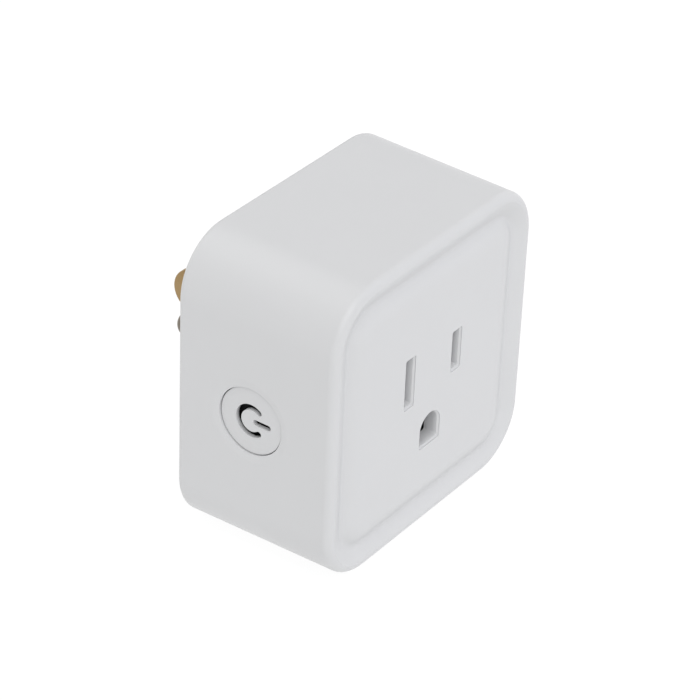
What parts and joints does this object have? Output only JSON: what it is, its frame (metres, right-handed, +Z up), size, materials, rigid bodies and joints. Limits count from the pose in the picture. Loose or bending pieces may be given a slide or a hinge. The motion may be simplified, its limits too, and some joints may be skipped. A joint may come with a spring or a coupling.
{
  "type": "smart plug",
  "caption": "Square switched socket adapter: prongs on the rear, a three-pin outlet in a grooved front face, a round push button on one side.",
  "frame": {"origin": "centre of the flat rear face that meets the wall plate", "axes": "+Y into the wall along the prongs, +Z up with the blades above the ground pin, +X right seen from the socket side"},
  "size_m": [0.054, 0.0511, 0.0536],
  "materials": {
    "white_plastic": "fine satin moulded",
    "cover_plastic": "fine satin moulded",
    "button_plastic": "satin moulded",
    "brass": "stamped, lightly polished",
    "nickel": "nickel plated",
    "smoke_guide": "smoked translucent",
    "black_plastic": "moulded",
    "relay_case": "moulded",
    "ivory_nylon": "moulded",
    "dark_nylon": "moulded",
    "copper": "enamelled wire",
    "steel": "zinc plated",
    "yellow_case": "potted box",
    "sleeve": "shrink sleeve",
    "varistor_blue": "dipped epoxy",
    "resistor_grey": "coated",
    "ferrite": "sintered",
    "laminate": "solder mask",
    "tin": "tin plated",
    "led": "moulded"
  },
  "bodies": {
    "housing": {"housing_shell": "white_plastic", "rear_cover": "cover_plastic", "neutral_blade": "brass", "line_blade": "brass", "ground_pin": "nickel", "prong_retainer": "black_plastic", "retainer_screw_left": "steel", "retainer_screw_right": "steel", "contact_carrier": "dark_nylon", "neutral_contact": "brass", "line_contact": "brass", "ground_contact": "brass", "ground_strap": "brass", "main_board": "laminate", "relay_base": "black_plastic", "relay_case": "relay_case", "relay_bobbin": "ivory_nylon", "relay_winding": "copper", "relay_core": "steel", "relay_yoke": "steel", "relay_fixed_contact": "brass", "film_capacitor": "yellow_case", "input_capacitor": "sleeve", "output_capacitor": "sleeve", "varistor": "varistor_blue", "fuse_resistor": "resistor_grey", "power_inductor": "ferrite", "inductor_winding": "copper", "bridge_rectifier": "black_plastic", "converter_chip": "black_plastic", "control_board": "laminate", "shield_can": "tin", "pin_header": "black_plastic", "status_led_upper": "led", "status_led_lower": "led", "tactile_switch_body": "black_plastic"},
    "button": {"button_cap": "button_plastic", "button_light_guide": "smoke_guide"},
    "switch_plunger": {"tactile_switch_plunger": "black_plastic"},
    "relay_armature": {"relay_armature": "steel", "relay_contact_spring": "brass"}
  },
  "joints": [
    {"name": "button_press", "type": "slide", "parent": "housing", "child": "button", "axis": [1, 0, 0], "range_m": [0, 0.0005], "stiffness_N_per_m": 2000, "springref_m": -0.0003},
    {"name": "switch_plunger_press", "type": "slide", "parent": "housing", "child": "switch_plunger", "axis": [1, 0, 0], "range_m": [0, 0.0005]},
    {"name": "relay_armature_swing", "type": "hinge", "parent": "housing", "child": "relay_armature", "pos_m": [-0.0074, -0.02165, 0.0162], "axis": [0, 0, 1], "range_deg": [0, 4], "stiffness_Nm_per_rad": 0.02, "springref_deg": -2.86}
  ],
  "couplings": [
    {"joint": "switch_plunger_press", "follows": "button_press", "ratio": 1}
  ]
}
